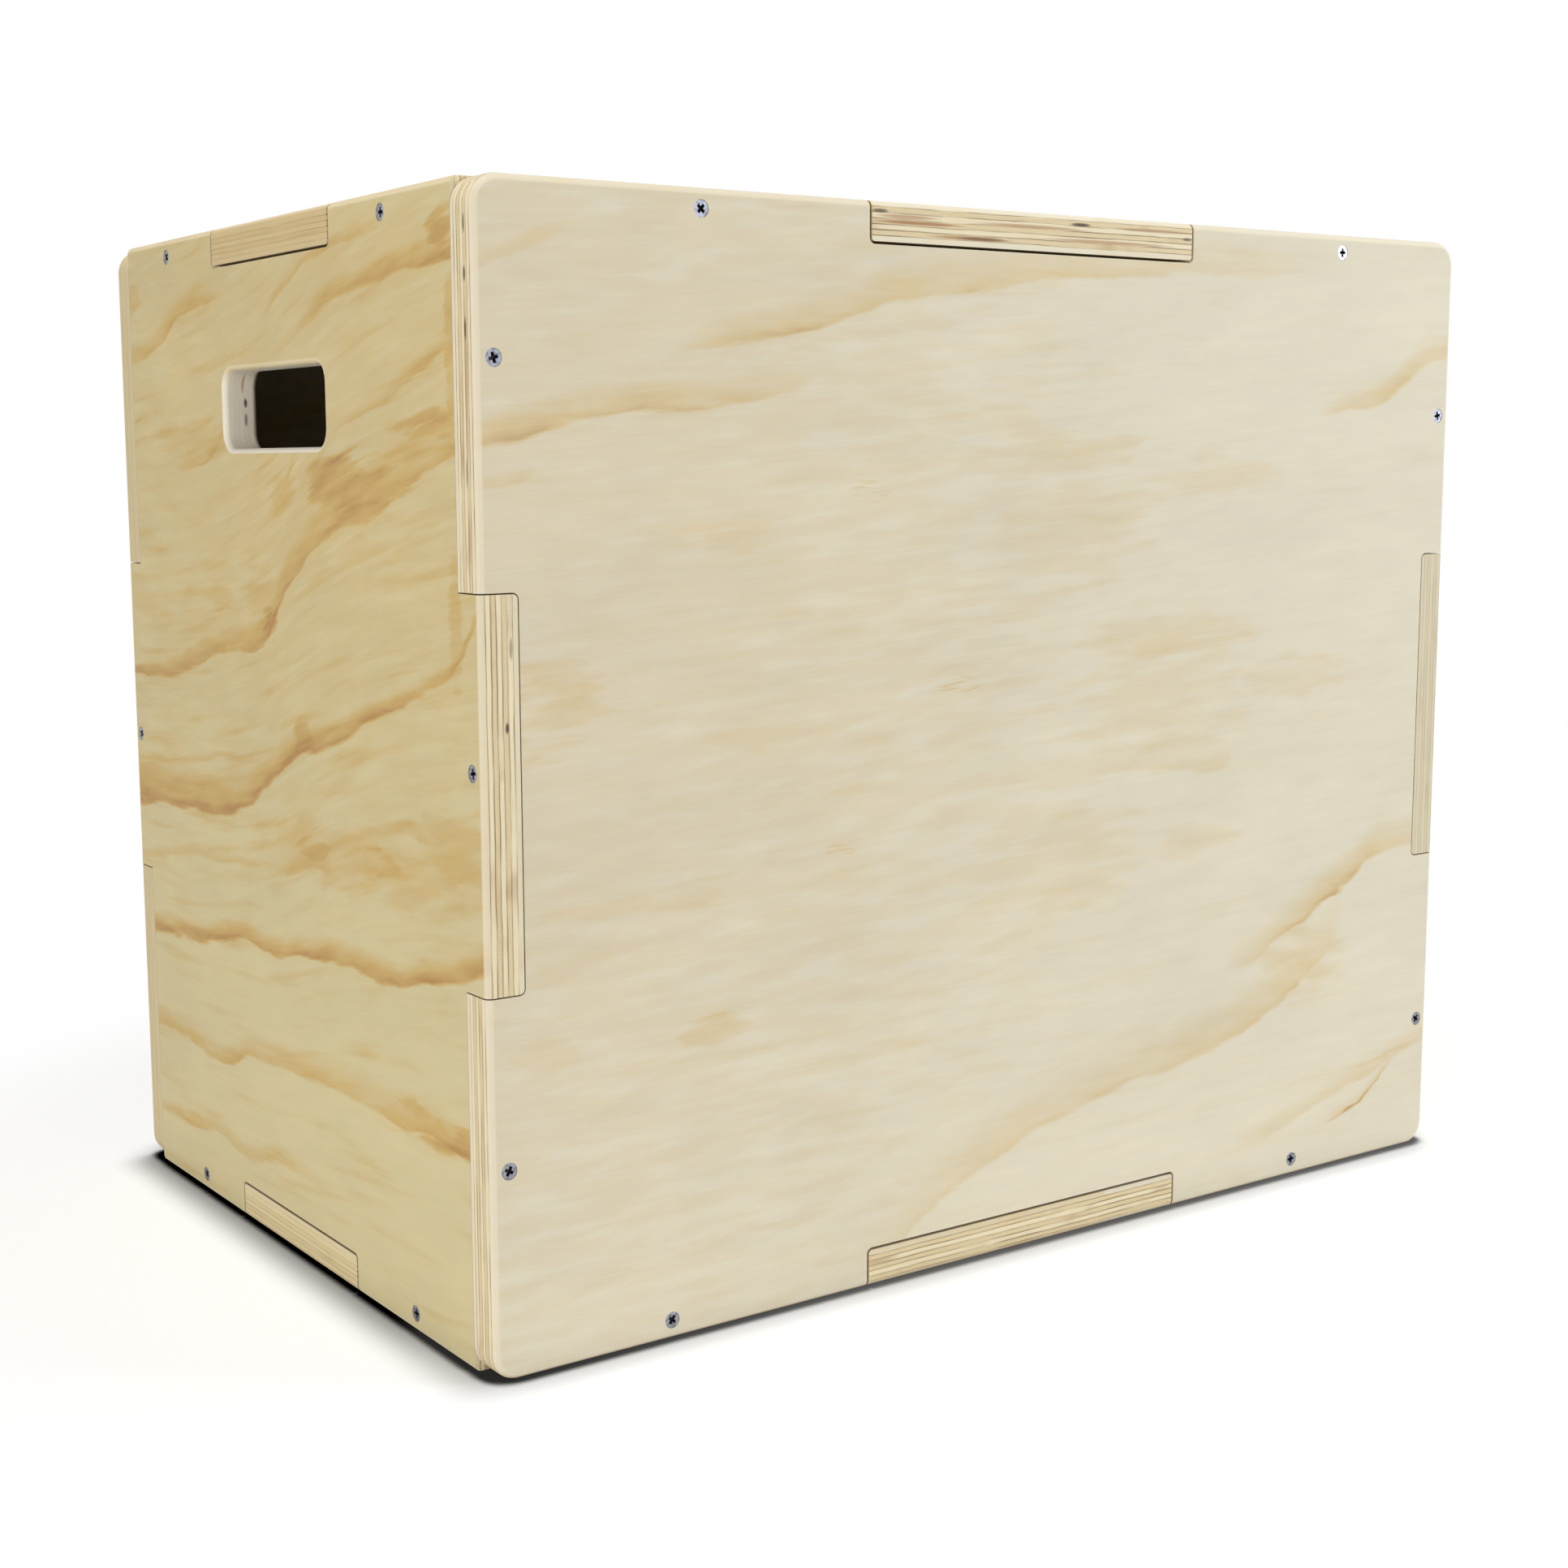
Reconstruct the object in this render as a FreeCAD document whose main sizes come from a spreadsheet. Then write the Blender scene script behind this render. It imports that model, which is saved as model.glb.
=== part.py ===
import FreeCAD, Part
import os
import re
import Sketcher

# A plywood plyo box in millimetres: +Z is up, the front faces -Y, and the origin is under the base's middle.
# Six panels lock together with one tab on every edge, and countersunk wood screws hold each joint.
# Each panel is drawn in a frame of its own: x across, y up, z out of the box, z = 0 on the outer face.

doc = FreeCAD.newDocument("plyo_box")

# Driving dimensions, kept in the sheet under these names
SIZES = {
    # Outside of the box
    "box_width": 610,
    "box_depth": 406,
    "box_height": 508,
    # Plywood and the rounding of its edges
    "ply_thickness": 18,
    "corner_radius": 12.5,
    "arris_radius": 3.5,
    # Finger joints: tabs along the width, the depth and the height of the box, and the gap round each tab.
    # The top and bottom go in last and have to drop into four notches at once, so they fit more loosely.
    "width_tab_length": 203,
    "depth_tab_length": 135,
    "height_tab_length": 169,
    "notch_radius": 3,
    "lid_joint_gap": 1.3,
    "side_joint_gap": 0.6,
    "butt_gap": 0.2,
    # Hand slot in the two side panels
    "slot_length": 117,
    "slot_height": 38,
    "slot_drop": 89,
    "slot_corner_radius": 9,
    "slot_arris_radius": 3,
    # Places of the screws
    "broad_pitch_across": 408,
    "broad_pitch_up": 341,
    "side_pitch_across": 250,
    "screw_stagger": 10,
    "side_screw_stagger": 4,
    # Wood screw with a countersunk head and a cross recess
    "screw_head_diameter": 7.5,
    "screw_rim": 0.5,
    "screw_shank_diameter": 4,
    "screw_length": 45,
    "screw_point_length": 6,
    "screw_sink": 0.3,
    "screw_fit": 0.1,
    "recess_span": 4.5,
    "recess_width": 1.5,
    "recess_depth": 2,
    # How far a cutter runs past what it cuts
    "cut_overrun": 5,
}
SLOT_ROUND_SHARE = 0.45
QUARTER_TURN = 90
SCREW_TURN = 137.5
RECESS_TAPER = 8
SAME_PLACE = 0.001
CUBIC_CENTIMETRE = 1000

sheet = doc.addObject("Spreadsheet::Sheet", "sizes")
for row, (alias, size) in enumerate(SIZES.items(), start=1):
    sheet.set(f"A{row}", alias)
    sheet.set(f"B{row}", str(size))
    sheet.setAlias(f"B{row}", alias)
doc.recompute()

# Where each panel's frame sits in the box: its rotation, and formulas for its origin
ACROSS = FreeCAD.Vector(1, 0, 0)
UP = FreeCAD.Vector(0, 0, 1)
STANDING = FreeCAD.Rotation(ACROSS, QUARTER_TURN)
FACING_LEFT = FreeCAD.Rotation(UP, -QUARTER_TURN) * STANDING
FACING_RIGHT = FreeCAD.Rotation(UP, QUARTER_TURN) * STANDING
FACING_BACK = FreeCAD.Rotation(UP, 2 * QUARTER_TURN) * STANDING
FACING_DOWN = FreeCAD.Rotation(ACROSS, 2 * QUARTER_TURN)
FRAMES = {
    "front_panel": (STANDING, ("0", "-box_depth / 2", "box_height / 2")),
    "back_panel": (FACING_BACK, ("0", "box_depth / 2", "box_height / 2")),
    "left_panel": (FACING_LEFT, ("-box_width / 2", "0", "box_height / 2")),
    "right_panel": (FACING_RIGHT, ("box_width / 2", "0", "box_height / 2")),
    "top_panel": (FreeCAD.Rotation(), ("0", "0", "box_height")),
    "bottom_panel": (FACING_DOWN, ("0", "0", "0")),
}


# Formulas

def formula(words):
    """The same formula, with every size read from the sheet."""
    return re.sub(r"[a-z_]+", lambda found: f"sizes.{found[0]}" if found[0] in SIZES else found[0], words)


def bind(thing, setting, words):
    thing.setExpression(setting, formula(words))


def measure(words):
    return float(sheet.evalExpression(formula(words)))


def place(thing, panel):
    """Put a thing that is drawn in a panel's frame where that panel sits in the box."""
    rotation, origin = FRAMES[panel]
    thing.Placement = FreeCAD.Placement(FreeCAD.Vector(), rotation)
    for axis, words in zip("xyz", origin):
        bind(thing, f"Placement.Base.{axis}", words)


# Sketches

def new_sketch(body, name, role="XY_Plane"):
    sketch = body.newObject("Sketcher::SketchObject", f"{body.Name}_{name}")
    plane = next(feature for feature in body.Origin.OriginFeatures if feature.Role == role)
    sketch.AttachmentSupport = (plane, [""])
    sketch.MapMode = "FlatFace"
    return sketch


def add_outline(sketch, corners):
    """A closed outline of straight lines, with both coordinates of every corner bound to a formula."""
    points = [FreeCAD.Vector(measure(across), measure(up), 0) for across, up in corners]
    first = sketch.GeometryCount
    for start, end in zip(points, points[1:] + points[:1]):
        sketch.addGeometry(Part.LineSegment(start, end))
    for number, (point, (across, up)) in enumerate(zip(points, corners)):
        line = first + number
        following = first + (number + 1) % len(corners)
        sketch.addConstraint(Sketcher.Constraint("Coincident", line, 2, following, 1))
        for kind, distance, words in (("DistanceX", point.x, across), ("DistanceY", point.y, up)):
            constraint = sketch.addConstraint(Sketcher.Constraint(kind, -1, 1, line, 1, distance))
            bind(sketch, f"Constraints[{constraint}]", words)


def add_rectangle(sketch, low, high):
    add_outline(sketch, [low, (high[0], low[1]), high, (low[0], high[1])])


def add_centred_rectangle(sketch, across, up):
    add_rectangle(sketch, (f"-({across}) / 2", f"-({up}) / 2"), (f"({across}) / 2", f"({up}) / 2"))


# Features

def pad_plate(body, name, across, up):
    sketch = new_sketch(body, f"{name}_outline")
    add_centred_rectangle(sketch, across, up)
    pad = body.newObject("PartDesign::Pad", f"{body.Name}_{name}")
    pad.Profile = sketch
    pad.Reversed = True
    bind(pad, "Length", "ply_thickness")
    doc.recompute()


def cut_pocket(body, name, sketch, depth=None, taper=0):
    """Cut a sketch into the body, to a depth or right through, and make sure that it cut something."""
    volume_before = body.Tip.Shape.Volume
    pocket = body.newObject("PartDesign::Pocket", f"{body.Name}_{name}")
    pocket.Profile = sketch
    pocket.TaperAngle = taper
    if depth:
        bind(pocket, "Length", depth)
    else:
        pocket.Type = "ThroughAll"
    doc.recompute()
    if pocket.Shape.Volume >= volume_before:
        raise RuntimeError(f"{pocket.Name} cut nothing")


def round_edges(body, name, wanted, radius):
    """Round the edges of the body whose box and middle point pass the test."""
    base = body.Tip
    names = []
    for number, edge in enumerate(base.Shape.Edges, start=1):
        middle = edge.valueAt((edge.FirstParameter + edge.LastParameter) / 2)
        if wanted(edge.BoundBox, middle):
            names.append(f"Edge{number}")
    fillet = body.newObject("PartDesign::Fillet", f"{body.Name}_{name}")
    fillet.Base = (base, names)
    bind(fillet, "Radius", radius)
    doc.recompute()


def is_upright(box):
    """True for an edge that runs straight through the plywood."""
    return box.XLength < SAME_PLACE and box.YLength < SAME_PLACE


def is_same(one, other):
    return abs(one - other) < SAME_PLACE


def is_inside(middle, size):
    """True for a point that lies within a centred rectangle, clear of its sides."""
    across, up = size
    return abs(middle.x) < across / 2 - SAME_PLACE and abs(middle.y) < up / 2 - SAME_PLACE


def is_outside(middle, size):
    """True for a point that lies beyond a centred rectangle, clear of its sides."""
    across, up = size
    return abs(middle.x) > across / 2 + SAME_PLACE or abs(middle.y) > up / 2 + SAME_PLACE


# Plywood panels

def cut_notches(body, plate, tab_across, tab_up):
    """Notches in the middle of a plate's edges, for the tabs of other panels to come through.

    Tabs across the plate belong to the top and bottom panels, and tabs up it to the side panels.
    """
    sketch = new_sketch(body, "notch_outlines")
    for side in ("", "-"):
        for run, (tab, gap) in enumerate([(tab_across, "lid_joint_gap"), (tab_up, "side_joint_gap")]):
            if not tab:
                continue
            edge = f"({plate[1 - run]}) / 2"
            floor = f"{side}({edge} - ply_thickness - {gap})"
            mouth = f"{side}({edge} + cut_overrun)"
            half_length = f"({tab} / 2 + {gap})"
            low = (f"-{half_length}", floor)
            high = (half_length, mouth)
            if run == 1:
                low, high = low[::-1], high[::-1]
            add_rectangle(sketch, low, high)
    cut_pocket(body, "notches", sketch)
    plate_size = [measure(words) for words in plate]
    round_edges(
        body, "notch_corners",
        lambda box, middle: is_upright(box) and is_inside(middle, plate_size),
        "notch_radius",
    )


def cut_hand_slot(body):
    """A slot for the fingers, with round ends and its rims eased on both faces."""
    middle_up = "(box_height / 2 - slot_drop)"
    sketch = new_sketch(body, "slot_outline")
    add_rectangle(
        sketch,
        ("-slot_length / 2", f"{middle_up} - slot_height / 2"),
        ("slot_length / 2", f"{middle_up} + slot_height / 2"),
    )
    cut_pocket(body, "slot", sketch)
    slot_size = (measure("slot_length"), measure("slot_height"))
    slot_middle = FreeCAD.Vector(0, measure(middle_up), 0)
    round_edges(
        body, "slot_ends",
        lambda box, middle: is_upright(box) and not is_outside(middle - slot_middle, slot_size),
        f"min(slot_corner_radius; {SLOT_ROUND_SHARE} * slot_height)",
    )
    round_edges(
        body, "slot_rims",
        lambda box, middle: not is_upright(box) and not is_outside(middle - slot_middle, slot_size),
        "slot_arris_radius",
    )


def make_panel(panel, plate, tab_bars=(), tab_gap=None, notch_across=None, notch_up=None, hand_slot=False):
    """One panel before drilling: a plate, bars across it whose ends are tabs, notches and eased edges."""
    body = doc.addObject("PartDesign::Body", f"{panel}_blank")
    pad_plate(body, "plate", *plate)
    if not tab_bars:
        round_edges(body, "corners", lambda box, middle: is_upright(box), "corner_radius")
    for number, bar in enumerate(tab_bars, start=1):
        pad_plate(body, f"tab_bar_{number}", *bar)
    if notch_across or notch_up:
        cut_notches(body, plate, notch_across, notch_up)
    plate_size = [measure(words) for words in plate]
    reach = [max(measure(shape[run]) for shape in (plate, *tab_bars)) for run in (0, 1)]
    inner_face = -measure("ply_thickness")
    if tab_bars:
        round_edges(
            body, "tab_easing",
            lambda box, middle: is_same(middle.z, inner_face)
            and is_outside(middle, plate_size) and is_inside(middle, reach),
            f"notch_radius - {tab_gap}",
        )
    round_edges(
        body, "arris",
        lambda box, middle: is_same(middle.z, 0) and not is_inside(middle, reach),
        "arris_radius",
    )
    if hand_slot:
        cut_hand_slot(body)
    place(body, panel)
    return body


INNER_WIDTH = "box_width - 2 * (ply_thickness + butt_gap)"
INNER_DEPTH = "box_depth - 2 * (ply_thickness + butt_gap)"
blanks = {}
for panel in ("front_panel", "back_panel"):
    blanks[panel] = make_panel(
        panel,
        plate=("box_width", "box_height"),
        notch_across="width_tab_length",
        notch_up="height_tab_length",
    )
for panel in ("left_panel", "right_panel"):
    blanks[panel] = make_panel(
        panel,
        plate=(INNER_DEPTH, "box_height"),
        tab_bars=[("box_depth", "height_tab_length")],
        tab_gap="side_joint_gap",
        notch_across="depth_tab_length",
        hand_slot=True,
    )
for panel in ("top_panel", "bottom_panel"):
    blanks[panel] = make_panel(
        panel,
        plate=(INNER_WIDTH, INNER_DEPTH),
        tab_bars=[("box_width", "depth_tab_length"), ("width_tab_length", "box_depth")],
        tab_gap="lid_joint_gap",
    )


# Wood screws

def turn_screw(name, fit, head_top):
    """A turned screw, its head's flat top at z = 0, or the room that such a screw needs in the wood."""
    head_radius = f"(screw_head_diameter / 2 + {fit})"
    shank_radius = f"(screw_shank_diameter / 2 + {fit})"
    neck = f"-(screw_rim + {head_radius} - {shank_radius})"
    body = doc.addObject("PartDesign::Body", name)
    sketch = new_sketch(body, "profile", "XZ_Plane")
    add_outline(sketch, [
        ("0", head_top),
        (head_radius, head_top),
        (head_radius, "-screw_rim"),
        (shank_radius, neck),
        (shank_radius, "screw_point_length - screw_length"),
        ("0", f"-(screw_length + {fit})"),
    ])
    turned = body.newObject("PartDesign::Revolution", f"{name}_turned")
    turned.Profile = sketch
    turned.ReferenceAxis = (sketch, ["V_Axis"])
    turned.Angle = 4 * QUARTER_TURN
    doc.recompute()
    return body


screw = turn_screw("screw", "0", "0")
RECESS_ARMS = {"arm_across": ("recess_span", "recess_width"), "arm_up": ("recess_width", "recess_span")}
for arm, size in RECESS_ARMS.items():
    arm_sketch = new_sketch(screw, f"{arm}_outline")
    add_centred_rectangle(arm_sketch, *size)
    cut_pocket(screw, arm, arm_sketch, "recess_depth", -RECESS_TAPER)
screw_room = turn_screw("screw_room", "screw_fit", "cut_overrun")


def screw_group(panel, name, part, places):
    """Copies of a screw, or of its room, at the given places on a panel's outer face."""
    copies = []
    for number, (across, up) in enumerate(places):
        copy = doc.addObject("App::Link", f"{name}_{number + 1}")
        copy.LinkedObject = part
        turn = FreeCAD.Rotation(UP, number * SCREW_TURN)
        copy.Placement = FreeCAD.Placement(FreeCAD.Vector(), turn)
        bind(copy, "Placement.Base.x", across)
        bind(copy, "Placement.Base.y", up)
        bind(copy, "Placement.Base.z", "-screw_sink")
        copies.append(copy)
    group = doc.addObject("Part::Compound", name)
    group.Links = copies
    place(group, panel)
    return group


def screw_rows(run, edge, shift, pitch=None):
    """Places in two opposite rows of one or two screws, each half a plywood thickness from its edge.

    One row is shifted along its edge, and the opposite row as far the other way.
    """
    places = []
    for side in "+-":
        from_edge = f"{side}({edge} - ply_thickness / 2)"
        for end in "+-" if pitch else [""]:
            from_middle = f"{end}{pitch} / 2 {side}({shift})" if pitch else f"{side}({shift})"
            places.append((from_middle, from_edge) if run == "across" else (from_edge, from_middle))
    return places


BROAD_SCREWS = (screw_rows("across", "box_height / 2", "screw_stagger", "broad_pitch_across")
                + screw_rows("up", "box_width / 2", "-screw_stagger", "broad_pitch_up"))
SIDE_SCREWS = (screw_rows("across", "box_height / 2", "-side_screw_stagger", "side_pitch_across")
               + screw_rows("up", "box_depth / 2", "screw_stagger"))
FLAT_SCREWS = (screw_rows("across", "box_depth / 2", "-screw_stagger")
               + screw_rows("up", "box_width / 2", "-side_screw_stagger"))
SCREW_PLACES = {
    "front_panel": BROAD_SCREWS,
    "back_panel": BROAD_SCREWS,
    "left_panel": SIDE_SCREWS,
    "right_panel": SIDE_SCREWS,
    "top_panel": FLAT_SCREWS,
    "bottom_panel": FLAT_SCREWS,
}
nodes = {}
rooms = []
for panel, places in SCREW_PLACES.items():
    node = f"{panel}_screws"
    nodes[node] = screw_group(panel, node, screw, places)
    rooms.append(screw_group(panel, f"{panel}_screw_rooms", screw_room, places))

# Drill every panel for the screws that pass through it and for those that end in its edges
all_rooms = doc.addObject("Part::Compound", "all_screw_rooms")
all_rooms.Links = rooms
for panel, blank in blanks.items():
    drilled = doc.addObject("Part::Cut", panel)
    drilled.Base = blank
    drilled.Tool = all_rooms
    nodes[panel] = drilled
doc.recompute()

# Check the document, then write one file for each node
for thing in doc.Objects:
    if "Invalid" in thing.State or "Error" in thing.State:
        raise RuntimeError(f"{thing.Name} failed: {thing.State}")
for name, thing in nodes.items():
    thing.Label = name
    if thing.Shape.isNull() or not thing.Shape.isValid():
        raise RuntimeError(f"{name} has no valid shape")
os.makedirs("parts", exist_ok=True)
for name, thing in nodes.items():
    thing.Shape.exportStep(f"parts/{name}.step")
    print(f"{name}: {len(thing.Shape.Solids)} solids, {thing.Shape.Volume / CUBIC_CENTIMETRE:.1f} cm3")
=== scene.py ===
# %% [markdown]
# # A plywood plyo box
# A plyo box is a crate that athletes jump onto: six plywood panels, locked together by a tab in the
# middle of every edge and held by wood screws. The pieces come from the frame at their real size and in
# their real places, so nothing is modelled here. The lesson is about the finish: pine plywood with its
# growth lines and plies, zinc screws, and the light and camera that show them.

# %% Load the frame
import math
import bpy
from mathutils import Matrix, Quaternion, Vector


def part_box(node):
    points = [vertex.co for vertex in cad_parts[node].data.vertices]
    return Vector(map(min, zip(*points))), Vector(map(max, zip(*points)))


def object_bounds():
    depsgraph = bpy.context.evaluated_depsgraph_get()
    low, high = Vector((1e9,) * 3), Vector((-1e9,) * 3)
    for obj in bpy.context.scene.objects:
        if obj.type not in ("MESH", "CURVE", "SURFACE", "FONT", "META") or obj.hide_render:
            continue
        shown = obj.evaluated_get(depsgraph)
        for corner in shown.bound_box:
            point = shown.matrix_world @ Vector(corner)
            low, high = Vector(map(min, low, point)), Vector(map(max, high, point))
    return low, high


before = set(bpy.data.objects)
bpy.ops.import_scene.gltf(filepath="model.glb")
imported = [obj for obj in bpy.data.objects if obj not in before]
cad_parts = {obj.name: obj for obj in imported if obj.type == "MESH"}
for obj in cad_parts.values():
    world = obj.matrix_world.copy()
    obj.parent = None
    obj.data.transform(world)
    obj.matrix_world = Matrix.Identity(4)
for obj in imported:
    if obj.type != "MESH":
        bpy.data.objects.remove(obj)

MM_PER_M = 1000
cad_low, cad_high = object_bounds()
scene = bpy.context.scene
scene.view_settings.view_transform = "Standard"
print("pieces:", ", ".join(sorted(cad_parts)))
print("size in mm:", [round(side * MM_PER_M) for side in cad_high - cad_low])

# %% [markdown]
# ## The camera
# The picture is taken from the front left, from a little below the top of the box, about 1.3 m away.
# One could aim a camera with a Track To constraint and tune it by eye. Here the eye point, the
# direction of the gaze and the lens come from the box itself: its corners, tabs and screws are known in
# millimetres, and only one camera puts them all where the picture shows them. The small shift moves the
# picture sideways on the film, as a cropped photograph does.

# %% Camera
EYE_POINT = Vector((-0.747, -1.0204, 0.3924))
GAZE = Vector((0.5584, 0.8184, -0.1359))
LEAN_DEGREES = -0.38
LENS_MM = 51.9
SIDE_SHIFT_SHARE = 0.0445
UP_SHIFT_SHARE = -0.0083

camera = bpy.data.objects.new("camera", bpy.data.cameras.new("camera"))
camera.data.lens = LENS_MM
camera.data.shift_x = SIDE_SHIFT_SHARE
camera.data.shift_y = UP_SHIFT_SHARE
camera.location = EYE_POINT
lean = Quaternion((0, 0, 1), math.radians(LEAN_DEGREES))
camera.rotation_mode = "QUATERNION"
camera.rotation_quaternion = GAZE.to_track_quat("-Z", "Y") @ lean
scene.collection.objects.link(camera)
scene.camera = camera
print("camera at", [round(part, 3) for part in EYE_POINT], "with a", LENS_MM, "mm lens")

# %% [markdown]
# ## Sums with sockets
# A finish is a recipe of nodes. Placing nodes one by one hides the idea behind them, so two small
# classes let a recipe read like a formula. An Amount is a value that changes over the surface, and every
# operator on it adds a Math node. A Recipe adds any other node: its settings first, then its sockets.
# Colours go through Mix and Vector Math nodes, because a Math node would turn them grey.

# %% Amounts
class Amount:
    """A socket's value, which Python can do sums with."""

    def __init__(self, recipe, socket):
        self.recipe = recipe
        self.socket = socket

    def also(self, output):
        """Another output of the same node."""
        return Amount(self.recipe, self.socket.node.outputs[output])

    def __add__(self, other):
        return self.recipe.math("ADD", self, other)

    def __radd__(self, other):
        return self.recipe.math("ADD", other, self)

    def __sub__(self, other):
        return self.recipe.math("SUBTRACT", self, other)

    def __rsub__(self, other):
        return self.recipe.math("SUBTRACT", other, self)

    def __mul__(self, other):
        return self.recipe.math("MULTIPLY", self, other)

    def __rmul__(self, other):
        return self.recipe.math("MULTIPLY", other, self)

    def __truediv__(self, other):
        return self.recipe.math("DIVIDE", self, other)

    def __abs__(self):
        return self.recipe.math("ABSOLUTE", self)


print("sums that add a Math node: plus, minus, times, divided by, and the size without its sign")

# %% Recipes
# A Mix node's sockets for colours go by number, because it has more than one socket of each name
MIX_SHARE, MIX_FIRST, MIX_SECOND, MIXED_COLOUR = 0, 6, 7, 2


class Recipe:
    """A node tree that starts empty and grows as its formulas need nodes."""

    def __init__(self, tree):
        self.tree = tree
        tree.nodes.clear()

    def add(self, kind, settings=(), sockets=(), output=0):
        """Add one node: first its settings, then the values or links of its sockets."""
        node = self.tree.nodes.new(kind)
        for name, value in dict(settings).items():
            if name == "stops":
                set_stops(node.color_ramp, value)
            elif name == "points":
                set_points(node.mapping, value)
            else:
                setattr(node, name, value)
        for name, value in dict(sockets).items():
            if isinstance(value, Amount):
                self.tree.links.new(value.socket, node.inputs[name])
            else:
                node.inputs[name].default_value = value
        return Amount(self, node.outputs[output]) if node.outputs else None

    def math(self, operation, *values):
        return self.add("ShaderNodeMath", {"operation": operation}, dict(enumerate(values)))

    def mix(self, share, first, second):
        """A colour between two others."""
        sockets = {MIX_SHARE: share, MIX_FIRST: first, MIX_SECOND: second}
        return self.add("ShaderNodeMix", {"data_type": "RGBA"}, sockets, MIXED_COLOUR)

    def blend(self, share, first, second):
        """A shader between two others."""
        return self.add("ShaderNodeMixShader", (), {0: share, 1: first, 2: second})

    def scale(self, colour, amount):
        """A colour made lighter or darker."""
        return self.add("ShaderNodeVectorMath", {"operation": "SCALE"}, {0: colour, "Scale": amount})

    def rise(self, amount, start, end):
        """0 before start, 1 after end, with a soft slope between them. Start may be the larger one."""
        sockets = {"Value": amount, "From Min": start, "From Max": end}
        return self.add("ShaderNodeMapRange", {"interpolation_type": "SMOOTHSTEP"}, sockets)

    def noise(self, place, detail=2):
        """Smooth noise about zero, mostly within half a unit, at a place given by three amounts."""
        vector = self.add("ShaderNodeCombineXYZ", (), dict(enumerate(place)))
        sockets = {"Vector": vector, "Scale": 1, "Detail": detail}
        return 2 * self.add("ShaderNodeTexNoise", (), sockets) - 1

    def curve(self, amount, points):
        """A smooth curve through points, with both of its axes from 0 to 1."""
        return self.add("ShaderNodeFloatCurve", {"points": points}, {"Value": amount})


def set_stops(ramp, stops):
    for number, (place, colour) in enumerate(stops):
        stop = ramp.elements[number] if number < len(ramp.elements) else ramp.elements.new(place)
        stop.position = place
        stop.color = colour


def set_points(mapping, points):
    handles = mapping.curves[0].points
    for number, (place, value) in enumerate(points[:1] + points[-1:]):
        handles[number].location = (place, value)
    for place, value in points[1:-1]:
        handles.new(place, value)
    for handle in handles:
        handle.handle_type = "AUTO_CLAMPED"
    mapping.extend = "HORIZONTAL"
    mapping.update()


print("a recipe's words:", [word for word in vars(Recipe) if not word.startswith("_")])

# %% [markdown]
# ## Colours
# A colour picker gives red, green and blue from 0 to 255, on a scale made for the eye. Nodes count in
# linear light, where half the number is half the light. Linear values could be typed straight in, but
# they are hard to picture, so a function works them out from the picker's numbers.

# %% Colours
PICKER_WHITE = 255
FOOT_END = 0.04045
FOOT_SLOPE = 12.92
CURVE_OFFSET = 0.055
CURVE_POWER = 2.4


def srgb(red, green, blue):
    """A colour picker's colour in the linear values of nodes. The darkest shares follow a straight foot."""
    linear = []
    for part in (red, green, blue):
        share = part / PICKER_WHITE
        if share <= FOOT_END:
            linear.append(share / FOOT_SLOPE)
        else:
            linear.append(((share + CURVE_OFFSET) / (1 + CURVE_OFFSET)) ** CURVE_POWER)
    return (*linear, 1)


print("a mid grey in linear light:", [round(part, 3) for part in srgb(128, 128, 128)[:3]])

# %% [markdown]
# ## The backdrop
# The box stands before plain white, in soft light. A white room could be built around it, but then the
# bright walls would also light the box. Instead the world looks white only to the camera and to
# reflections, through the Light Path node, while the light that it sheds on the wood stays low.

# %% World
WHITE = (1, 1, 1, 1)
SKY_STRENGTH = 0.3


def seen_directly(recipe):
    """1 for rays that show a picture of things: from the camera, or through a reflection or glass."""
    path = recipe.add("ShaderNodeLightPath", output="Is Camera Ray")
    mirrored = recipe.math("MAXIMUM", path.also("Is Glossy Ray"), path.also("Is Transmission Ray"))
    return recipe.math("MAXIMUM", path, mirrored)


def make_world():
    world = bpy.data.worlds.new("studio")
    scene.world = world
    world.use_nodes = True
    recipe = Recipe(world.node_tree)
    light = recipe.add("ShaderNodeBackground", (), {"Color": WHITE, "Strength": SKY_STRENGTH})
    backdrop = recipe.add("ShaderNodeBackground", (), {"Color": WHITE, "Strength": 1})
    shader = recipe.blend(seen_directly(recipe), light, backdrop)
    recipe.add("ShaderNodeOutputWorld", (), {"Surface": shader})


make_world()
print("the sky's light on the box has a strength of", SKY_STRENGTH)

# %% [markdown]
# ## The floor
# Far from the box the floor is white in the same way as the backdrop. Near it the floor is partly an
# ordinary matt surface, so it keeps the shadow. Beside the wood a photograph shows a thin dark line and a
# softer shade around it. Lamps alone give them too faintly, so the Ambient Occlusion node helps: it finds
# how much the box hides of the sky, once within a narrow reach and once within a wide one. Both are
# weaker in front, where the light comes in. What the floor throws back onto the box is the light of a
# pale mat on a grey floor, so the sides are lightest low down.

# %% Floor
FLOOR_SIZE = 60
FLOOR_COLOUR = srgb(250, 250, 249)
MAT_COLOUR = srgb(228, 227, 225)
FAR_COLOUR = srgb(208, 207, 205)
BLACK = (0, 0, 0, 1)
NEAR_WHITE_SHARE = 0.4
FADE_START = 0.42
FADE_END = 0.6
NEAR_CONTACT = {"reach": 0.011, "start": 0.9, "end": 0.6}
WIDE_CONTACT = {"reach": 0.034, "start": 0.95, "end": 0.5}
WIDE_CONTACT_SHARE = 0.62
FRONT_NEAR_SHARE = 0.84
FRONT_WIDE_SHARE = 0.25
LEFT_END = -0.43
BACK_END = -0.1


def start_material(name):
    """A new material, and an empty recipe for its nodes."""
    material = bpy.data.materials.new(name)
    material.use_nodes = True
    return material, Recipe(material.node_tree)


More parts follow.
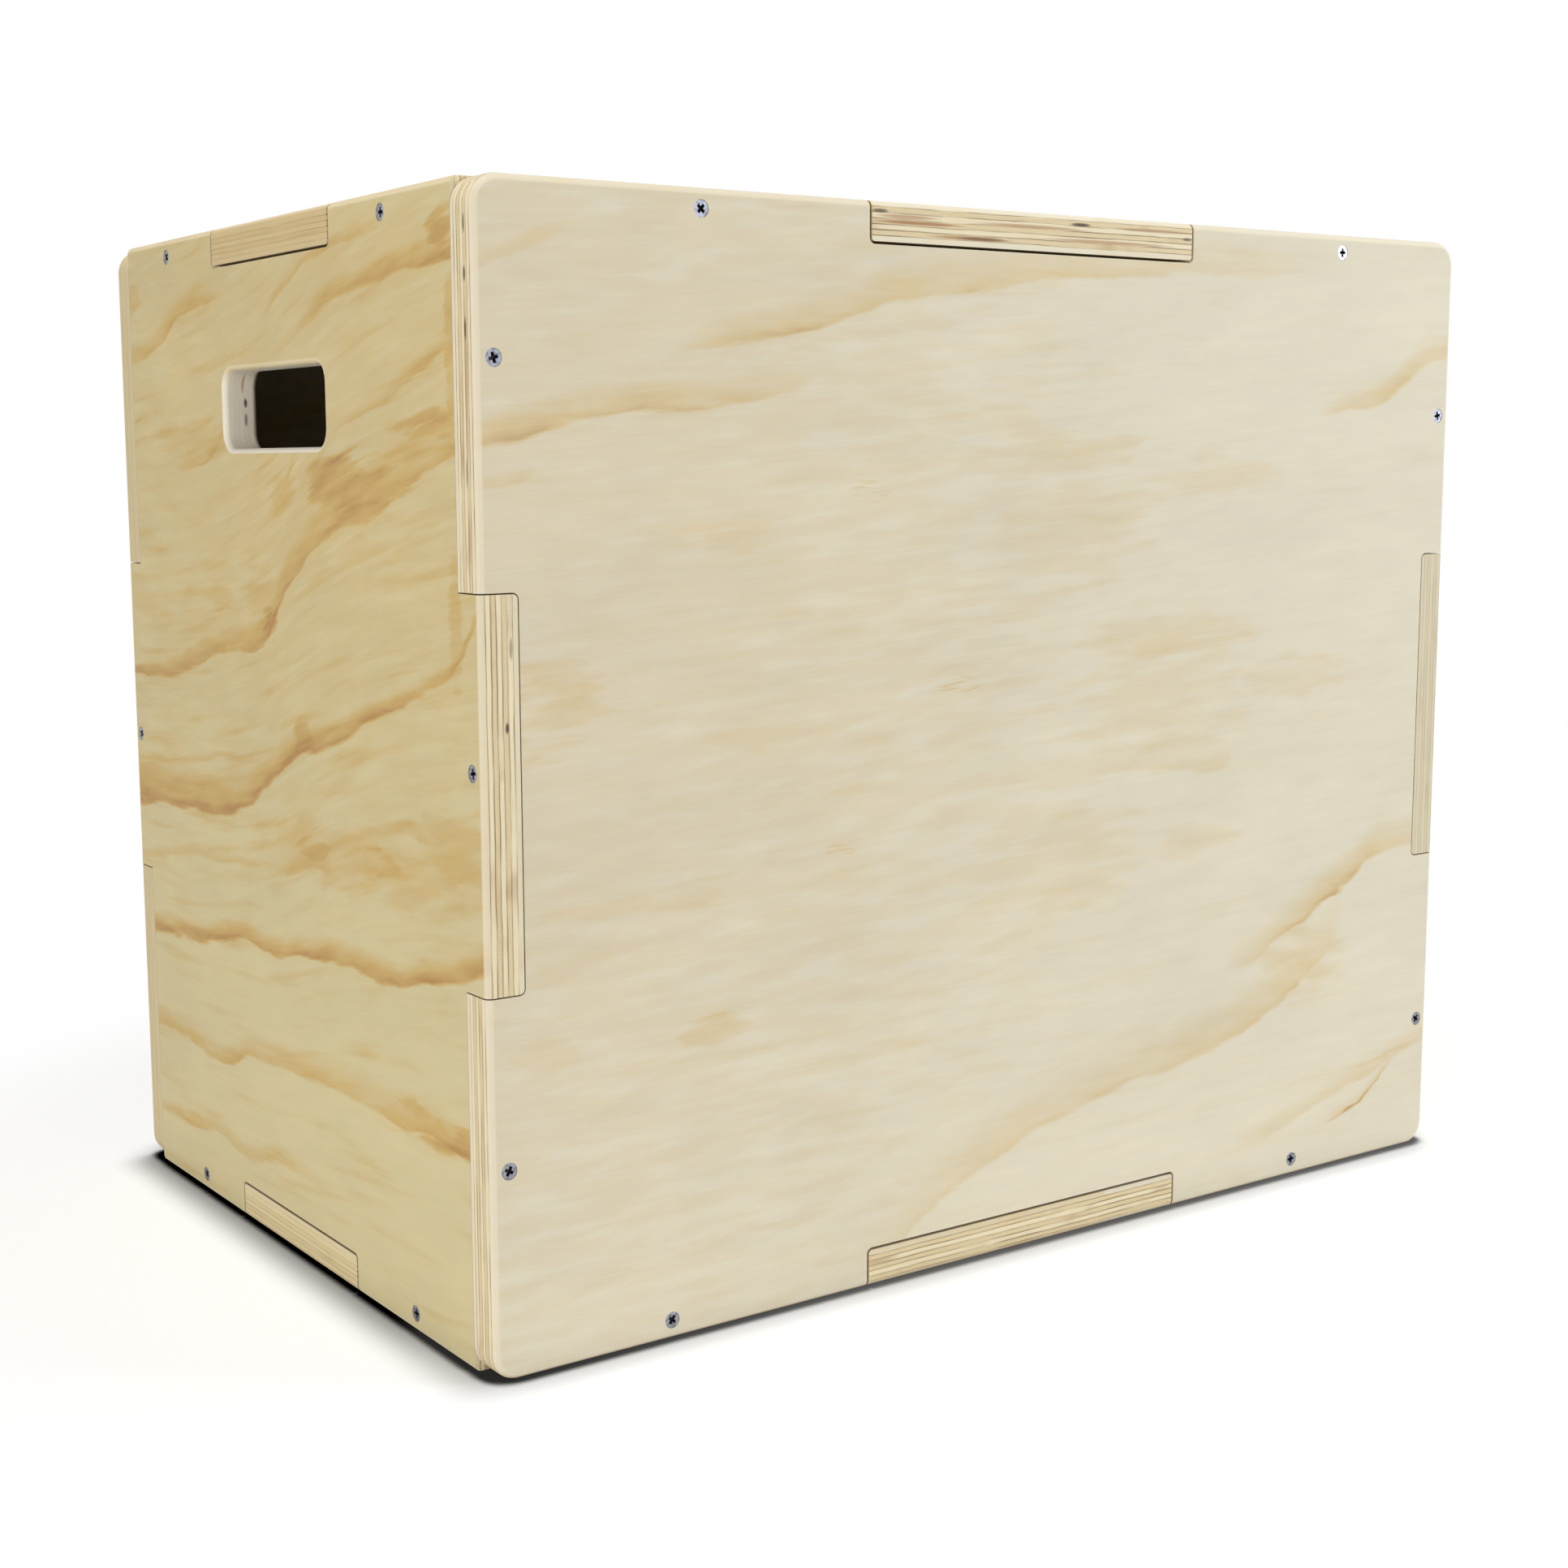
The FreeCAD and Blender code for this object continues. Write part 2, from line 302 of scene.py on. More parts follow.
def hidden(recipe, reach, start, end, samples=16):
    """0 where start or more of the sky is open, and 1 where things within reach leave only end of it."""
    settings = {"samples": samples}
    open_sky = recipe.add("ShaderNodeAmbientOcclusion", settings, {"Distance": reach}, "AO")
    return recipe.rise(open_sky, start, end)


def contact_shade(recipe, place):
    """The share of light that the box takes from the floor beside it."""
    floor_x = recipe.add("ShaderNodeSeparateXYZ", (), {"Vector": place})
    leftness = recipe.rise(floor_x, 0, LEFT_END)
    backness = recipe.rise(floor_x.also("Y"), cad_low.y, BACK_END)
    off_front = recipe.math("MAXIMUM", leftness, backness)
    near_share = FRONT_NEAR_SHARE + (1 - FRONT_NEAR_SHARE) * off_front
    wide_share = FRONT_WIDE_SHARE + (WIDE_CONTACT_SHARE - FRONT_WIDE_SHARE) * backness
    near_shade = hidden(recipe, **NEAR_CONTACT) * near_share
    wide_shade = hidden(recipe, **WIDE_CONTACT) * wide_share
    return recipe.math("MAXIMUM", near_shade, wide_shade)


def floor_finish():
    material, recipe = start_material("floor")
    place = recipe.add("ShaderNodeTexCoord", output="Object")
    distance = recipe.add("ShaderNodeVectorMath", {"operation": "LENGTH"}, {0: place}, "Value")
    far = recipe.rise(distance, FADE_START, FADE_END)
    matt, black, mat, grey = [
        recipe.add("ShaderNodeBsdfDiffuse", (), {"Color": colour})
        for colour in (FLOOR_COLOUR, BLACK, MAT_COLOUR, FAR_COLOUR)
    ]
    white = recipe.add("ShaderNodeEmission", (), {"Color": WHITE, "Strength": 1})
    bright = recipe.blend(NEAR_WHITE_SHARE + (1 - NEAR_WHITE_SHARE) * far, matt, white)
    shaded = recipe.blend(contact_shade(recipe, place), bright, black)
    bounce = recipe.blend(far, mat, grey)
    shader = recipe.blend(seen_directly(recipe), bounce, shaded)
    recipe.add("ShaderNodeOutputMaterial", (), {"Surface": shader})
    return material


def make_floor():
    half = FLOOR_SIZE / 2
    corners = [(-half, -half, 0), (half, -half, 0), (half, half, 0), (-half, half, 0)]
    mesh = bpy.data.meshes.new("floor")
    mesh.from_pydata(corners, [], [(0, 1, 2, 3)])
    mesh.materials.append(floor_finish())
    floor = bpy.data.objects.new("floor", mesh)
    scene.collection.objects.link(floor)


make_floor()
print("the floor is", FLOOR_SIZE, "m wide, and all white beyond", FADE_END, "m")

# %% [markdown]
# ## The lamps
# Three lamps shape the soft light. The high one, a little to the back right, leaves a narrow shadow at
# the front left. One lamp could light both sides that show, but then both would have the same tone. So a
# cooler one lights the front and another the left side, each as bright as its side looks in the picture.
# They are large or far away, which keeps their shadows soft, and the camera doesn't see them.

# %% Lamps
FLOOR_MIDDLE = Vector((0, 0, 0))
box_middle = (cad_low + cad_high) / 2
COOL_LIGHT = (0.86, 0.93, 1)

# Each lamp's kind, its place in metres, what it points at, and its settings
LAMPS = {
    "high lamp": ("SUN", (0.1, 0.05, 3), FLOOR_MIDDLE, {"energy": 1.7, "angle": math.radians(3)}),
    "right lamp": ("AREA", (1.8, -1.6, 1), box_middle, {"energy": 25, "size": 0.8, "color": COOL_LIGHT}),
    "left lamp": ("AREA", (-2.55, -1.35, 0.6), box_middle, {"energy": 33, "size": 1.4}),
}


def add_lamp(name, kind, place, target, settings):
    lamp = bpy.data.lights.new(name, kind)
    for setting, value in settings.items():
        setattr(lamp, setting, value)
    holder = bpy.data.objects.new(name, lamp)
    holder.location = place
    holder.rotation_mode = "QUATERNION"
    holder.rotation_quaternion = (target - Vector(place)).to_track_quat("-Z", "Y")
    holder.visible_camera = False
    scene.collection.objects.link(holder)


for name, lamp_values in LAMPS.items():
    add_lamp(name, *lamp_values)

# %% [markdown]
# ## Where a point lies on its panel
# Plywood looks different along its face and across its thickness, so every finish starts with three
# lengths: how far a point is across the panel, how far up, and how deep below the outer face. Texture
# coordinates could come from an unwrapped UV map. Object coordinates do it without one, because every
# panel lies square to the axes: each names the directions that mean across, up and into the wood. On
# three panels the grain climbs to the right, so they also have a bent height that follows a fibre.

# %% Places on a panel
PANEL_DIRECTIONS = {
    "front_panel": ("+x", "+z", "+y"),
    "back_panel": ("-x", "+z", "-y"),
    "left_panel": ("-y", "+z", "+x"),
    "right_panel": ("+y", "+z", "-x"),
    "top_panel": ("+x", "+y", "-z"),
    "bottom_panel": ("+x", "-y", "+z"),
}

# How far a fibre has climbed at some places across a panel: across and rise, both in millimetres
GRAIN_BENDS = {
    "front_panel": [(0, 0), (610, 43)],
    "left_panel": [(0, 0), (85, 6), (150, 16), (190, 25), (235, 41), (290, 57), (345, 68), (406, 78)],
    "right_panel": [(0, 0), (406, 40)],
}
STRAIGHT_LEVEL = 40
BENT_LEVEL = 280
LOW_BEND_SHARE = 0.3


class Spot:
    """A point of a panel: across, up and depth in millimetres, and how far it faces each way, from 0 to 1.

    The grain climbs to the right, less so near the bottom, and grain_up stays the same along a fibre.
    """

    def __init__(self, recipe, panel):
        low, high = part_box(panel)
        place = recipe.add("ShaderNodeTexCoord", output="Object")
        normal = recipe.add("ShaderNodeNewGeometry", output="Normal")
        place_x = recipe.add("ShaderNodeSeparateXYZ", (), {"Vector": place})
        normal_x = recipe.add("ShaderNodeSeparateXYZ", (), {"Vector": normal})
        runs = []
        facings = []
        self.sizes = []
        for sign, axis in PANEL_DIRECTIONS[panel]:
            number = "xyz".index(axis)
            metres = place_x.also(number)
            from_side = metres - low[number] if sign == "+" else high[number] - metres
            runs.append(from_side * MM_PER_M)
            facings.append(abs(normal_x.also(number)))
            self.sizes.append((high - low)[number] * MM_PER_M)
        self.across, self.up, self.depth = runs
        self.grain_up = self.up
        if panel in GRAIN_BENDS:
            width, height, _ = self.sizes
            points = [(across / width, rise / height) for across, rise in GRAIN_BENDS[panel]]
            bend = recipe.curve(self.across / width, points) * height
            bent_share = recipe.rise(self.up, STRAIGHT_LEVEL, BENT_LEVEL)
            self.grain_up = self.up - bend * (LOW_BEND_SHARE + (1 - LOW_BEND_SHARE) * bent_share)
        self.side_facing, self.end_facing, self.out_facing = facings


for panel, (across, up, inward) in PANEL_DIRECTIONS.items():
    print(f"{panel}: across is {across}, up is {up}, into the wood is {inward}")

# %% [markdown]
# ## Growth lines
# A sheet of face veneer is peeled from a log, and the log's yearly rings show on it as long bands. Each
# band starts at a brown line, where one year's growth ended, and fades upwards into pale spring wood. A
# wave texture would give even stripes. Real bands differ, so each one here is drawn as a curve: a few
# given points, with the line's height and darkness at each. Ovals add the patches where the
# knife met a ring almost flat, and short dark checks where it tore the wood. Noise that is long in the
# direction of the grain and short across it makes all of them ragged, as fibres are.

# %% How a panel's figure is drawn
# Sizes of noise are the length along the grain and the height across it of one bump, in millimetres
WANDER_SIZE = (80, 40)
WANDER_REACH = 6
RAGGED_SIZE = (26, 5)
RAGGED_REACH = 4
LINE_SOFTNESS = 1.8
CORE_WIDTH = 8
CORE_SHARE = 0.38
STEADY_FILL_SHARE = 0.3
TORN_SIZE = (40, 7)
TORN_REACH = 2.2
PATCH_RIM = 1.5
UNEVEN_SIZE = (34, 7)
UNEVEN_SHARE = 0.75
DASH_SIZE = (16, 1.8)
DASH_START = -0.1
DASH_END = 0.2
CHECK_DARKNESS = 0.42
CHECK_CORE_SHARE = 0.2


def grain_noise(recipe, spot, size, seed, detail=2):
    """Noise stretched along the grain."""
    length, height = size
    return recipe.noise((spot.across / length, spot.grain_up / height, seed), detail)


def ragged_up(recipe, spot, seed):
    """The height on the panel, pushed up and down a little so that drawn lines follow the fibres."""
    wander = grain_noise(recipe, spot, WANDER_SIZE, seed)
    ragged = grain_noise(recipe, spot, RAGGED_SIZE, seed + 1, detail=4)
    return spot.up + wander * WANDER_REACH + ragged * RAGGED_REACH


def growth_line(recipe, spot, up, fills, points):
    """How dark one growth line makes the wood: sharp on its lower side, fading upwards over its fill.

    The fill grows evenly from the first of the two fills, at the panel's left, to the second.
    """
    width, height, _ = spot.sizes
    share = spot.across / width
    levels = [(across / width, level / height) for across, level, _ in points]
    darks = [(across / width, dark) for across, _, dark in points]
    above = up - recipe.curve(share, levels) * height
    darkness = recipe.curve(share, darks)
    fill_height = fills[0] + (fills[1] - fills[0]) * share
    started = recipe.rise(above, -LINE_SOFTNESS, LINE_SOFTNESS)
    fill = recipe.rise(above, fill_height, fill_height * STEADY_FILL_SHARE)
    core = recipe.rise(above, CORE_WIDTH, 0)
    return started * (core * CORE_SHARE + fill * (1 - CORE_SHARE)) * darkness


def oval_distance(sides):
    """0 in the middle of an oval and 1 on its rim. Each side is a place, a middle and a reach."""
    distance = 0
    for place, middle, reach in sides:
        offset = (place - middle) / reach
        distance = offset * offset + distance
    return distance


def drawn_figure(recipe, spot, drawing, seed):
    """All that is drawn on a panel, as one darkness from 0 to 1."""
    lines, patches, checks = drawing
    up = ragged_up(recipe, spot, seed)
    torn = grain_noise(recipe, spot, TORN_SIZE, seed + 4, detail=3)
    figure = 0
    for fills, points in lines:
        figure = recipe.math("MAXIMUM", figure, growth_line(recipe, spot, up, fills, points))
    for across, level, reach_across, reach_up, darkness in patches:
        distance = oval_distance([(spot.across, across, reach_across), (up, level, reach_up)])
        patch = recipe.rise(distance + torn * TORN_REACH, PATCH_RIM, 0)
        figure = recipe.math("MAXIMUM", figure, patch * darkness)
    uneven = grain_noise(recipe, spot, UNEVEN_SIZE, seed + 2, detail=3)
    figure = figure * (1 + uneven * UNEVEN_SHARE)
    dash_noise = grain_noise(recipe, spot, DASH_SIZE, seed + 3)
    dashes = recipe.rise(dash_noise, DASH_START, DASH_END) * CHECK_DARKNESS
    for across, level, reach_across, reach_up in checks:
        distance = oval_distance([(spot.across, across, reach_across), (spot.up, level, reach_up)])
        figure = recipe.math("MAXIMUM", figure, dashes * recipe.rise(distance, 1, CHECK_CORE_SHARE))
    return figure


print("drawn lines wander mostly within", (WANDER_REACH + RAGGED_REACH) / 2, "mm")

# %% [markdown]
# ## The left panel's drawing
# The left panel's veneer is yellow, with strong bands that climb towards the front, past the hand slot. A
# picture of wood could be laid over it, but that would bring its own light and its own limits in size. A
# few points for each line keep what makes this panel itself, and the noise does the rest.

# %% Left panel's drawing
# Lines: the two fills, then points of across, up and darkness
LEFT_LINES = [
    ((18, 18), [(0, 444, 0.35), (40, 447, 0.55), (60, 455, 0.6), (80, 464, 0.6), (105, 470, 0.65),
                (130, 474, 0.4), (150, 478, 0)]),
    ((10, 10), [(180, 452, 0), (200, 462, 0.3), (220, 473, 0.45), (245, 482, 0.45), (275, 486, 0.5),
                (310, 491, 0.35), (340, 497, 0)]),
    ((16, 16), [(225, 446, 0), (245, 456, 0.4), (270, 465, 0.6), (310, 469, 0.7), (350, 474, 0.7),
                (385, 474, 0.75), (406, 478, 0.75)]),
    ((14, 14), [(250, 392, 0), (275, 404, 0.3), (300, 412, 0.4), (330, 420, 0.4), (360, 430, 0.45),
                (385, 440, 0.5), (406, 446, 0.5)]),
    ((10, 10), [(310, 402, 0), (340, 406, 0.35), (385, 412, 0.5), (406, 416, 0.5)]),
    ((8, 8), [(0, 408, 0.2), (30, 414, 0.3), (50, 416, 0.3), (75, 420, 0)]),
    ((10, 10), [(60, 388, 0), (100, 392, 0.45), (125, 397, 0.55), (140, 405, 0.45), (150, 415, 0)]),
    ((14, 14), [(185, 362, 0), (200, 366, 0.4), (215, 378, 0.5), (228, 392, 0.3), (240, 398, 0)]),
    ((10, 42), [(0, 277, 0.75), (50, 279, 0.75), (85, 285, 0.8), (120, 295, 0.75), (150, 299, 0.75),
                (175, 301, 0.8), (190, 307, 0.95), (200, 318, 0.9), (215, 332, 0.8), (235, 346, 0.75),
                (255, 357, 0.7), (290, 366, 0.75), (325, 376, 0.7), (345, 383, 0.6), (385, 394, 0.5),
                (406, 398, 0.5)]),
    ((8, 8), [(0, 318, 0.25), (60, 322, 0.25), (110, 326, 0.3), (140, 332, 0.25), (180, 338, 0)]),
    ((6, 6), [(0, 227, 0.35), (50, 231, 0.35), (100, 237, 0.35), (150, 242, 0.35), (200, 252, 0.3),
              (240, 262, 0)]),
    ((10, 10), [(195, 262, 0), (220, 268, 0.4), (240, 270, 0.3), (290, 280, 0)]),
    ((34, 8), [(0, 204, 0.95), (50, 210, 0.9), (100, 211, 0.9), (140, 215, 0.9), (165, 223, 0.9),
               (190, 236, 0.85), (210, 247, 0.9), (230, 253, 0.95), (250, 258, 0.8), (275, 265, 0.75),
               (300, 274, 0.7), (340, 287, 0.7), (365, 297, 0.7), (385, 307, 0.7), (406, 330, 0.4)]),
    ((10, 10), [(270, 222, 0), (310, 224, 0.35), (340, 231, 0.35), (375, 226, 0.35), (406, 232, 0.4)]),
    ((8, 8), [(0, 172, 0.25), (50, 180, 0.3), (85, 186, 0.3), (130, 189, 0.3), (200, 195, 0.2),
              (240, 200, 0)]),
    ((22, 22), [(150, 180, 0), (200, 192, 0.35), (225, 199, 0.5), (245, 201, 0.5), (265, 199, 0.3),
                (285, 204, 0.4), (315, 207, 0.5), (335, 210, 0.4), (365, 213, 0.3), (406, 217, 0.3)]),
    ((13, 16), [(0, 135, 0.85), (60, 135, 0.85), (90, 139, 0.9), (120, 145, 0.9), (150, 149, 0.8),
                (185, 147, 0.7), (215, 154, 0.8), (250, 158, 0.85), (290, 160, 0.7), (320, 159, 0.9),
                (345, 163, 0.9), (375, 171, 0.85), (406, 179, 0.8)]),
    ((13, 22), [(0, 78, 0.4), (60, 81, 0.5), (90, 78, 0.45), (125, 81, 0.6), (145, 88, 0.5),
                (180, 91, 0.4), (230, 94, 0.45), (260, 96, 0.4), (290, 96, 0.4), (325, 93, 0.6),
                (350, 96, 0.65), (385, 93, 0.8), (406, 92, 0.8)]),
    ((10, 10), [(0, 28, 0.3), (60, 33, 0.45), (100, 37, 0.3), (140, 34, 0.3), (180, 41, 0.35),
                (210, 43, 0.2), (260, 40, 0)]),
]

# Patches: across, up, the reach along and across the grain, and darkness
LEFT_PATCHES = [
    (203, 420, 420, 240, 0.15),
    (250, 368, 110, 42, 0.25),
    (288, 381, 50, 17, 0.66),
    (215, 378, 24, 17, 0.42),
    (185, 330, 30, 16, 0.35),
    (362, 408, 40, 8, 0.55),
    (300, 478, 110, 22, 0.2),
    (95, 480, 70, 18, 0.16),
    (100, 405, 60, 14, 0.3),
    (90, 312, 100, 22, 0.2),
    (192, 316, 10, 9, 0.75),
    (227, 264, 13, 9, 0.7),
    (263, 268, 15, 6, 0.65),
    (290, 211, 130, 18, 0.3),
    (238, 210, 24, 7, 0.55),
    (311, 213, 21, 8, 0.55),
    (380, 229, 44, 17, 0.36),
    (352, 101, 36, 9, 0.55),
    (386, 102, 18, 9, 0.7),
    (379, 487, 14, 13, 0.75),
    (386, 440, 6, 40, 0.45),
    (385, 330, 7, 30, 0.4),
    (20, 480, 16, 11, 0.35),
    (67, 38, 16, 5, 0.45),
    (125, 325, 42, 6, 0.35),
]
print("on the left panel:", len(LEFT_LINES), "lines and", len(LEFT_PATCHES), "patches")

# %% [markdown] ## The front panel's drawing The front's veneer is paler, and its lines are faint and
# shorter. The last two are fine cracks near the lower right corner, drawn as lines with hardly any fill.

# %% Front panel's drawing
# Lines and patches have the same columns as on the left panel
FRONT_LINES = [
    ((12, 12), [(0, 466, 0.35), (15, 474, 0.4), (35, 481, 0.35), (60, 487, 0)]),
    ((20, 20), [(0, 397, 0.55), (25, 403, 0.65), (50, 409, 0.65), (85, 413, 0.65), (120, 415, 0.6),
                (150, 420, 0.4), (185, 430, 0)]),
    ((8, 8), [(0, 383, 0.4), (15, 384, 0.4), (30, 388, 0)]),
    ((24, 24), [(85, 434, 0), (110, 438, 0.35), (130, 442, 0.5), (160, 447, 0.6), (185, 454, 0.58),
                (215, 462, 0.55), (260, 470, 0.5), (310, 475, 0.45), (370, 479, 0.4), (440, 484, 0.25),
                (520, 488, 0)]),
    ((30, 30), [(190, 0, 0), (215, 12, 0.2), (246, 34, 0.3), (292, 52, 0.35), (346, 66, 0.35),
                (404, 76, 0.4), (454, 87, 0.45), (475, 94, 0.48), (495, 104, 0.5), (515, 118, 0.4),
                (535, 130, 0)]),
    ((22, 22), [(440, 118, 0), (465, 124, 0.35), (480, 132, 0.45), (500, 141, 0.55), (515, 149, 0.6),
                (540, 159, 0.65), (556, 170, 0.6), (575, 174, 0.4), (610, 178, 0.2)]),
    ((16, 16), [(500, 413, 0), (525, 418, 0.35), (548, 420, 0.5), (570, 431, 0.55), (585, 440, 0.5),
                (610, 448, 0.4)]),
    ((18, 18), [(330, 296, 0), (365, 298, 0.25), (400, 300, 0.3), (430, 303, 0.25), (470, 300, 0)]),
    ((20, 20), [(240, 232, 0), (290, 236, 0.15), (350, 236, 0.2), (400, 234, 0.25), (432, 232, 0.25),
                (445, 235, 0)]),
    ((8, 8), [(60, 350, 0), (100, 358, 0.2), (150, 360, 0.2), (200, 366, 0)]),
    ((10, 10), [(120, 262, 0), (170, 262, 0.2), (210, 268, 0.2), (250, 275, 0)]),
    ((10, 10), [(0, 194, 0.3), (60, 200, 0.25), (120, 200, 0.2), (180, 206, 0)]),
    ((14, 14), [(450, 20, 0), (480, 25, 0.25), (520, 38, 0.3), (560, 48, 0.3), (610, 60, 0.2)]),
    ((2.5, 2.5), [(525, 22, 0), (540, 28, 0.8), (555, 34, 0.9), (565, 40, 0.8), (575, 48, 0.5),
                  (585, 54, 0)]),
    ((2.5, 2.5), [(545, 50, 0), (560, 53, 0.5), (585, 56, 0.5), (610, 58, 0.3)]),
]
FRONT_PATCHES = [
    (0, 330, 330, 330, 0.16),
    (326, 396, 56, 12, 0.22),
    (429, 383, 42, 10, 0.18),
    (115, 361, 56, 8, 0.26),
    (142, 329, 62, 8, 0.2),
    (327, 358, 58, 28, 0.18),
    (392, 301, 62, 11, 0.25),
    (392, 266, 62, 32, 0.18),
    (162, 268, 62, 8, 0.25),
    (494, 276, 46, 11, 0.18),
    (313, 193, 62, 36, 0.17),
    (419, 195, 32, 9, 0.16),
    (80, 200, 62, 6, 0.26),
    (38, 176, 36, 14, 0.2),
    (29, 141, 24, 10, 0.24),
    (117, 140, 21, 8, 0.36),
    (32, 293, 26, 26, 0.36),
    (500, 120, 32, 19, 0.28),
]

# Checks: across, up, and the reach along and across the grain
FRONT_CHECKS = [
    (203, 378, 15, 7),
    (257, 286, 18, 7),
    (186, 215, 13, 7),
]
DRAWINGS = {
    "front_panel": (FRONT_LINES, FRONT_PATCHES, FRONT_CHECKS),
    "left_panel": (LEFT_LINES, LEFT_PATCHES, ()),
}
print("on the front panel:", len(FRONT_LINES), "lines and", len(FRONT_PATCHES), "patches")

# %% [markdown]
# ## Rings for the other panels
# The back, right, top and bottom don't show in the picture, so their bands need not follow it. Here a
# formula does what the drawing did: the height on the panel, bowed and bent by slow noise, is divided
# into rings, and the part of a ring that lies above its lower edge sets the darkness. More noise makes
# one ring darker than the next, and the pale panels have fainter rings than the yellow one.

# %% Growth rings by formula
RING_SPACING = 58
RING_BOW = 70
RING_TOP_SHARE = 0.4
RING_SWAY_SIZE = (260, 150)
RING_SWAY = 110
RING_FADE = 2
RING_SOFTNESS_SHARE = 0.05
RING_CHANGE_LENGTH = 180
RING_SEED_STEP = 5
RING_CHANGE_SHARE = 1.3
RING_DARKNESS = {
    "back_panel": 0.42,
    "right_panel": 0.58,
    "top_panel": 0.42,
    "bottom_panel": 0.42,
}


def ring_figure(recipe, spot, darkness, seed):
    """Growth rings as one darkness from 0 to 1, with a sharp lower edge to every ring."""
    width = spot.sizes[0]
    off_top = spot.across / width - RING_TOP_SHARE
    sway = grain_noise(recipe, spot, RING_SWAY_SIZE, seed + 4)
    bent = ragged_up(recipe, spot, seed) + off_top * off_top * RING_BOW + sway * RING_SWAY
    ring = bent / RING_SPACING
    above = recipe.math("FRACT", ring)
    fade = recipe.math("POWER", 1 - above, RING_FADE)
    started = recipe.rise(above, 0, RING_SOFTNESS_SHARE)
    ring_seed = recipe.math("FLOOR", ring) * RING_SEED_STEP
    ring_change = recipe.noise((spot.across / RING_CHANGE_LENGTH, ring_seed, seed + 5))
    uneven = grain_noise(recipe, spot, UNEVEN_SIZE, seed + 2, detail=3)
    ring_darkness = (1 + ring_change * RING_CHANGE_SHARE) * darkness
    return started * fade * ring_darkness * (1 + uneven * UNEVEN_SHARE)


print("rings on the other panels are about", RING_SPACING, "mm apart")

# %% [markdown]
# ## Face veneer
# Between the bands the veneer is pale pine: long streaks, fibres of slightly different shades, and
# clouds of lighter and darker wood. One noise texture can't do all of that, so each kind of detail has its
# own noise, stretched along the grain as far as that detail is on real wood. The fibres also feed the
# bump, which keeps the sanded surface from looking like plastic.

# %% Veneer
STREAK_SIZE = (80, 8)
STREAK_START = 0
STREAK_END = 0.6
SHADE_PLACES = (0, 0.5, 1)
FIBRE_SIZE = (60, 1.1)
FIBRE_SHARE = 0.045
MOTTLE_SIZE = (30, 8)
MOTTLE_SHARE = 0.05
CLOUD_SIZE = (120, 50)
CLOUD_SHARE = 0.08


def veneer(recipe, spot, figure, shades, streak_share, seed):
    """The face's colour, and the fibres for its bump. Shades run from spring wood to the darkest line."""
    streak_noise = grain_noise(recipe, spot, STREAK_SIZE, seed + 6, detail=4)
    figure = figure + recipe.rise(streak_noise, STREAK_START, STREAK_END) * streak_share
    stops = list(zip(SHADE_PLACES, shades))
    colour = recipe.add("ShaderNodeValToRGB", {"stops": stops}, {"Fac": figure})
    fibre = grain_noise(recipe, spot, FIBRE_SIZE, seed + 7, detail=3)
    mottle = grain_noise(recipe, spot, MOTTLE_SIZE, seed + 8)
    cloud = grain_noise(recipe, spot, CLOUD_SIZE, seed + 9)
    lightness = 1 + fibre * FIBRE_SHARE + mottle * MOTTLE_SHARE + cloud * CLOUD_SHARE
    return recipe.scale(colour, lightness), fibre


print("fibres change the colour by up to", FIBRE_SHARE, "and clouds by up to", CLOUD_SHARE)

# %% [markdown]
# ## Plies on the edges
# Plywood is glued from thin sheets whose grain runs along and across by turns. On an edge, the sheets
# that run along it look pale and streaky, and the sheets that run across it show their darker cut ends.
# Thin brown glue lines part them. All of this follows from the depth below the face, so no sheet has to
# be modelled, and a slow wave keeps the sheets from looking ruled.

# %% Edge grain
PLY_COUNT = 7
PLY_WAVE_LENGTH = 45
PLY_WAVE = 0.6
EDGE_TURN = 0.1
LONG_GRAIN = srgb(240, 225, 189)
CUT_GRAIN = srgb(226, 206, 163)
BROWN_GRAIN = srgb(182, 146, 104)
BROWN_SIZE = 38
BROWN_SEED_STEP = 7.3
BROWN_START = 0.1
BROWN_END = 0.6
BROWN_SHARE = 0.7
EDGE_STREAK_LENGTH = 45
EDGE_STREAK_DEPTH = 0.35
EDGE_STREAK_SHARE = 0.14
SPECKLE_SIZE = 0.9
SPECKLE_SHARE = 0.16
GLUE_COLOUR = srgb(136, 108, 72)
GLUE_WIDTH = 0.55
GLUE_CHANGE_SIZE = 30
GLUE_SEED_STEP = 3.1
GLUE_CHANGE_START = -0.4
GLUE_CHANGE_END = 0.3
FACE_CORE_SHARE = 0.85


def even_noise(recipe, spot, size, third_place, detail=2):
    """Noise whose bumps span size in millimetres both across and up, whichever way the grain runs."""
    return recipe.noise((spot.across / size, spot.up / size, third_place), detail)


